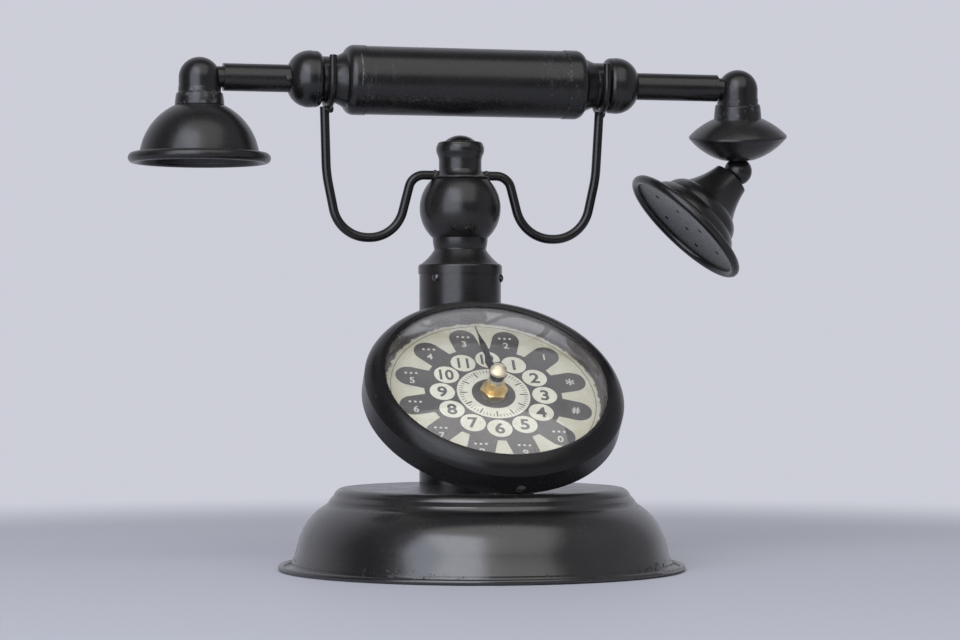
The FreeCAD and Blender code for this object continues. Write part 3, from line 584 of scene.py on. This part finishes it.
def around_dial(reach, clock_angle):
    a = math.radians(clock_angle) + PRINT_TURN
    return Vector((reach * math.sin(a), reach * math.cos(a), 0))


def curve_mesh(data, name):
    holder = bpy.data.objects.new(name, data)
    scene.collection.objects.link(holder)
    bpy.context.view_layer.update()
    seen = holder.evaluated_get(bpy.context.evaluated_depsgraph_get())
    mesh = bpy.data.meshes.new_from_object(seen)
    bpy.data.objects.remove(holder)
    return mesh


def circle_points(reach, count=96, centre=(0, 0)):
    step = 2 * math.pi / count
    return [(centre[0] + reach * math.cos(i * step), centre[1] + reach * math.sin(i * step))
            for i in range(count)]


def flat_shape(name, loops, low, high):
    data = bpy.data.curves.new(name, "CURVE")
    data.dimensions = "2D"
    data.fill_mode = "BOTH"
    data.extrude = (high - low) / 2
    for loop in loops:
        spline = data.splines.new("POLY")
        spline.points.add(len(loop) - 1)
        for point, (x, y) in zip(spline.points, loop):
            point.co = (x, y, 0, 1)
        spline.use_cyclic_u = True
    mesh = curve_mesh(data, name)
    mesh.transform(Matrix.Translation((0, 0, (low + high) / 2)))
    return mesh


# Height of a figure as a share of the font's size
CAPITAL_SHARE = 0.73
TEXT_STEPS = 6


def text_mesh(text, height, at, low, high, weight, squeeze=1.0):
    data = bpy.data.curves.new("text", "FONT")
    data.body = text
    data.align_x = "CENTER"
    data.align_y = "CENTER"
    data.size = height / CAPITAL_SHARE
    data.offset = weight
    data.extrude = (high - low) / 2
    data.resolution_u = TEXT_STEPS
    mesh = curve_mesh(data, "text")
    xs = [v.co.x for v in mesh.vertices]
    ys = [v.co.y for v in mesh.vertices]
    middle = Vector(((min(xs) + max(xs)) / 2, (min(ys) + max(ys)) / 2, 0))
    mesh.transform(Matrix.Translation(-middle))
    mesh.transform(Matrix.Diagonal((squeeze, 1, 1, 1)))
    mesh.transform(Matrix.Rotation(-PRINT_TURN, 4, "Z"))
    mesh.transform(Matrix.Translation(at + Vector((0, 0, (low + high) / 2))))
    return mesh


SAME_POINT = 0.0005


def joined(name, meshes, mat):
    work = bmesh.new()
    for mesh in meshes:
        work.from_mesh(mesh)
        bpy.data.meshes.remove(mesh)
    bmesh.ops.remove_doubles(work, verts=work.verts, dist=SAME_POINT)
    bmesh.ops.recalc_face_normals(work, faces=work.faces)
    data = bpy.data.meshes.new(name)
    work.to_mesh(data)
    work.free()
    data.materials.append(mat)
    obj = bpy.data.objects.new(name, data)
    scene.collection.objects.link(obj)
    on_dial(obj)
    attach(obj, "stand")


# Sizes of the print, in mm
HOURS = 12
HOUR_STEP = 360 / HOURS
HALF_HOUR = HOUR_STEP / 2
FIELD_R = 30.0
RING_OUT = 16.0
RING_IN = 9.5
RING_TRIM_OUT = 0.15
RING_TRIM_IN = 0.1
NUT_CLEAR = 5.6
TAB_HALF = 6.0
TAB_TIP = 43.0
DISC_R = 5.45
DISC_REACH = 22.35
LINE_R = 44.7
LINE_W = 0.28
LINE_STEPS = 160
DISC_STEPS = 56
TAB_STEPS = 18
ROOT_STEPS = 4
INK = 0.04


def turned(x, y, angle):
    return (x * math.cos(angle) + y * math.sin(angle), -x * math.sin(angle) + y * math.cos(angle))


def tabbed_outline():
    root = math.asin(TAB_HALF / FIELD_R)
    bend = TAB_TIP - TAB_HALF
    points = []
    for k in range(HOURS):
        mid = math.radians(HALF_HOUR + HOUR_STEP * k) + PRINT_TURN
        local = [(-TAB_HALF, FIELD_R * math.cos(root))]
        for i in range(TAB_STEPS + 1):
            a = math.pi - math.pi * i / TAB_STEPS
            local.append((TAB_HALF * math.cos(a), bend + TAB_HALF * math.sin(a)))
        local.append((TAB_HALF, FIELD_R * math.cos(root)))
        points.extend(turned(x, y, mid) for x, y in local)
        for i in range(1, ROOT_STEPS):
            a = mid + root + (math.radians(HOUR_STEP) - 2 * root) * i / ROOT_STEPS
            points.append((FIELD_R * math.sin(a), FIELD_R * math.cos(a)))
    return points


field = flat_shape("field", [tabbed_outline(), circle_points(RING_OUT)], 0, INK)
hub = flat_shape("hub", [circle_points(RING_IN), circle_points(NUT_CLEAR)], 0, INK)
line_loops = [circle_points(LINE_R, LINE_STEPS), circle_points(LINE_R - LINE_W, LINE_STEPS)]
line = flat_shape("line", line_loops, 0, INK)
joined("dial_field", [field, hub, line], dark_ink)

discs = []
for hour in range(HOURS):
    at = around_dial(DISC_REACH, HOUR_STEP * hour)
    discs.append(flat_shape("disc", [circle_points(DISC_R, DISC_STEPS, at)], INK, 2 * INK))
ring_loops = [circle_points(RING_OUT - RING_TRIM_OUT), circle_points(RING_IN + RING_TRIM_IN)]
ring_band = flat_shape("ring", ring_loops, 0, 2 * INK)
joined("dial_discs", discs + [ring_band], ivory_ink)

HOUR_H = 6.5
HOUR_WEIGHT = 0.22
TWO_FIGURES = 0.86
MINUTES = 60
TICK_OUT = 14.9
LONG_TICK_IN = 11.6
LONG_TICK_HALF = 0.32
SHORT_TICK_IN = 13.3
SHORT_TICK_HALF = 0.16
numerals = []
for hour in range(1, HOURS + 1):
    at = around_dial(DISC_REACH, HOUR_STEP * hour)
    squeeze = TWO_FIGURES if hour > 9 else 1.0
    numerals.append(text_mesh(str(hour), HOUR_H, at, 2 * INK, 3 * INK, HOUR_WEIGHT, squeeze))
for minute in range(MINUTES):
    a = math.radians(360 / MINUTES * minute) + PRINT_TURN
    long = minute % 5 == 0
    inner = LONG_TICK_IN if long else SHORT_TICK_IN
    half = LONG_TICK_HALF if long else SHORT_TICK_HALF
    tick = [(-half, inner), (half, inner), (half, TICK_OUT), (-half, TICK_OUT)]
    loop = [turned(x, y, a) for x, y in tick]
    numerals.append(flat_shape("tick", [loop], 2 * INK, 3 * INK))
joined("dial_numerals", numerals, numeral_ink)

TAB_REACH = 36.0
TAB_SIGNS = ["2", "1", "*", "#", "0", "9", "8", "7", "6", "5", "4", "3"]
SIGN_H = 3.8
SIGN_HEIGHTS = {"*": 6.6, "#": 4.2}
SIGN_WEIGHT = 0.09
SIGN_DROP = 2.5
DOTS_RISE = 2.2
DOT_R = 0.6
DOT_GAP = 2.3
DOT_STEPS = 20
upright = Vector((math.sin(PRINT_TURN), math.cos(PRINT_TURN), 0))
level = Vector((math.cos(PRINT_TURN), -math.sin(PRINT_TURN), 0))
small = []
for k, sign in enumerate(TAB_SIGNS):
    tab = around_dial(TAB_REACH, HALF_HOUR + HOUR_STEP * k)
    alone = sign in "1*#"
    at = tab if alone else tab - upright * SIGN_DROP
    small.append(text_mesh(sign, SIGN_HEIGHTS.get(sign, SIGN_H), at, INK, 2 * INK, SIGN_WEIGHT))
    if alone:
        continue
    for side in (-DOT_GAP, 0.0, DOT_GAP):
        dot = tab + upright * DOTS_RISE + level * side
        small.append(flat_shape("dot", [circle_points(DOT_R, DOT_STEPS, dot)], INK, 2 * INK))
joined("dial_small_numerals", small, pale_ink)


# Weld beads: lumpy closed blobs where wires and rods are joined, in mm
COLUMN_Y = 43.5
WELD_GRAIN = 1.5
WELD_LUMP = 0.28
RING_LUMP = 1.6 * WELD_LUMP
BLOB_STEPS = 4


def weld_piece(name, work, body):
    for face in work.faces:
        face.smooth = True
    bmesh.ops.scale(work, vec=(MM, MM, MM), verts=work.verts)
    data = bpy.data.meshes.new(name)
    work.to_mesh(data)
    work.free()
    data.materials.append(weld_paint)
    obj = bpy.data.objects.new(name, data)
    scene.collection.objects.link(obj)
    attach(obj, body)


def weld_blob(name, at, radii, body="stand"):
    work = bmesh.new()
    bmesh.ops.create_icosphere(work, subdivisions=BLOB_STEPS, radius=1.0)
    for vert in work.verts:
        out = Vector((vert.co[i] * radii[i] for i in range(3)))
        swell = 1.0 + WELD_LUMP * noise.noise((Vector(at) + out) / WELD_GRAIN)
        vert.co = Vector(at) + out * swell
    weld_piece(name, work, body)


def weld_ring(name, at, reach, thick, around=120, across=10):
    work = bmesh.new()
    rows = []
    for i in range(around):
        a = 2 * math.pi * i / around
        out = Vector((math.cos(a), math.sin(a), 0))
        row = []
        for j in range(across):
            b = 2 * math.pi * j / across
            way = out * math.cos(b) + Vector((0, 0, math.sin(b)))
            place = Vector(at) + out * reach + way * thick
            lump = 1.0 + RING_LUMP * noise.noise(place / WELD_GRAIN)
            row.append(work.verts.new(Vector(at) + out * reach + way * thick * lump))
        rows.append(row)
    for i in range(around):
        one, two = rows[i], rows[(i + 1) % around]
        for j in range(across):
            k = (j + 1) % across
            work.faces.new((one[j], two[j], two[k], one[k]))
    bmesh.ops.recalc_face_normals(work, faces=work.faces)
    weld_piece(name, work, "stand")


FORK_WELD_RISE = 0.7
FORK_WELD = (2.3, 2.5, 1.8)
ARM_WELD_Z = 175.1
LEFT_ARM_X = -11.9
LEFT_ARM_WELD = (1.9, 2.5, 2.35)
RIGHT_ARM_X = 12.5
RIGHT_ARM_WELD = (1.9, 2.6, 2.5)
ROD_WELD_AT = (-79.2, COLUMN_Y - 6.1, 217.2)
ROD_WELD = (1.7, 1.0, 1.7)
FINIAL_FOOT = (0, COLUMN_Y, 174.15)
FINIAL_WELD_R = 12.65
FINIAL_WELD_THICK = 0.55

for side in ("left", "right"):
    low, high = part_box("cradle_fork_" + side)
    foot = [(low.x + high.x) / 2 / MM, COLUMN_Y, low.z / MM + FORK_WELD_RISE]
    weld_blob("fork_weld_" + side, foot, FORK_WELD)
weld_blob("arm_weld_left", (LEFT_ARM_X, COLUMN_Y, ARM_WELD_Z), LEFT_ARM_WELD)
weld_blob("arm_weld_right", (RIGHT_ARM_X, COLUMN_Y, ARM_WELD_Z), RIGHT_ARM_WELD)
weld_blob("rod_weld_left", ROD_WELD_AT, ROD_WELD, "handset")
weld_ring("finial_weld", FINIAL_FOOT, FINIAL_WELD_R, FINIAL_WELD_THICK)


# Stage: a plain pale floor that runs out into an even background
FLOOR_R = 0.68
FLOOR_STEPS = 96
FLOOR_FADE_FROM = 0.34
FLOOR_FADE_TO = 0.64
MIRROR_FROM_Y = -0.3
MIRROR_TO_Y = 0.1
BACKGROUND = (0.605, 0.615, 0.685)
FLOOR_TONE = (0.585, 0.595, 0.66)
FLOOR_ROUGH = 0.6
FLOOR_SHINE = 0.25


def make_stage():
    mesh = bpy.data.meshes.new("floor")
    work = bmesh.new()
    bmesh.ops.create_circle(work, cap_ends=True, radius=FLOOR_R, segments=FLOOR_STEPS)
    work.to_mesh(mesh)
    work.free()
    floor = bpy.data.objects.new("floor", mesh)
    scene.collection.objects.link(floor)
    s = Shader("floor")
    s.set(Base_Color=FLOOR_TONE, Roughness=FLOOR_ROUGH, Specular_IOR_Level=FLOOR_SHINE)
    even = s.add("ShaderNodeEmission")
    s.give(even.inputs["Color"], BACKGROUND)
    path = s.add("ShaderNodeLightPath")
    far = s.fade(s.away((0, 0, 0)), FLOOR_FADE_FROM, FLOOR_FADE_TO)
    behind = s.fade(s.split(s.place)[1], MIRROR_FROM_Y, MIRROR_TO_Y)
    mirrored = s.times(path.outputs["Is Glossy Ray"], behind)
    seen = s.most(path.outputs["Is Camera Ray"], s.most(mirrored, path.outputs["Is Transmission Ray"]))
    s.show(s.blend(s.times(far, seen), s.bsdf.outputs["BSDF"], even.outputs["Emission"]))
    mesh.materials.append(s.mat)
    floor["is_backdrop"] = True


# World: soft light on the object, and the background for the camera, the glass and, graded, for reflections
WORLD_LIGHT = 0.24
WORLD_TINT = (0.93, 0.95, 1.0, 1.0)
REAR_GRADE = {"From_Min": 0.1, "From_Max": 0.75, "To_Min": 0.2, "To_Max": 1.0}
RIGHT_GRADE = {"From_Min": 0.2, "From_Max": 0.85, "To_Min": 0.0, "To_Max": 0.55}


def make_world():
    world = bpy.data.worlds.new("world")
    scene.world = world
    world.use_nodes = True
    tree = world.node_tree
    tree.nodes.clear()

    def add(kind, **inputs):
        node = tree.nodes.new("ShaderNode" + kind)
        for name, value in inputs.items():
            node.inputs[name.replace("_", " ")].default_value = value
        return node

    def larger(a, b):
        node = add("Math")
        node.operation = "MAXIMUM"
        tree.links.new(a, node.inputs[0])
        tree.links.new(b, node.inputs[1])
        return node.outputs[0]

    def graded(value, limits):
        node = add("MapRange", **limits)
        node.interpolation_type = "SMOOTHSTEP"
        tree.links.new(value, node.inputs["Value"])
        return node.outputs["Result"]

    way = add("SeparateXYZ")
    tree.links.new(add("TexCoord").outputs["Generated"], way.inputs[0])
    around = larger(graded(way.outputs["Y"], REAR_GRADE), graded(way.outputs["X"], RIGHT_GRADE))
    path = add("LightPath")
    clear = larger(path.outputs["Is Camera Ray"], path.outputs["Is Transmission Ray"])
    shown = larger(clear, path.outputs["Is Glossy Ray"])
    light = add("Background", Color=WORLD_TINT, Strength=WORLD_LIGHT)
    seen = add("Background", Color=(*BACKGROUND, 1.0))
    tree.links.new(larger(clear, around), seen.inputs["Strength"])
    both = add("MixShader")
    tree.links.new(shown, both.inputs[0])
    tree.links.new(light.outputs[0], both.inputs[1])
    tree.links.new(seen.outputs[0], both.inputs[2])
    tree.links.new(both.outputs[0], add("OutputWorld").inputs["Surface"])


# Lamps: a tall cool window at the front left and a broad warmer light from above
def softbox(name, at, target, width, height, watts, tint):
    data = bpy.data.lights.new(name, "AREA")
    data.color = tint
    data.shape = "RECTANGLE"
    data.size = width
    data.size_y = height
    data.energy = watts
    lamp = bpy.data.objects.new(name, data)
    lamp.location = at
    aim = Vector(target) - Vector(at)
    lamp.rotation_euler = aim.to_track_quat("-Z", "Y").to_euler()
    scene.collection.objects.link(lamp)


make_stage()
make_world()
softbox("window", at=(-1.03, -1.36, 1.02), target=(0, 0, 1.02), width=1.64, height=3.15, watts=42.5,
        tint=(0.83, 0.866, 1.0))
softbox("ceiling", at=(-0.07, -1.27, 1.56), target=(0, 0, 0.15), width=2.6, height=2.2, watts=21.0,
        tint=(1.0, 0.985, 0.96))

low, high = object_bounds()
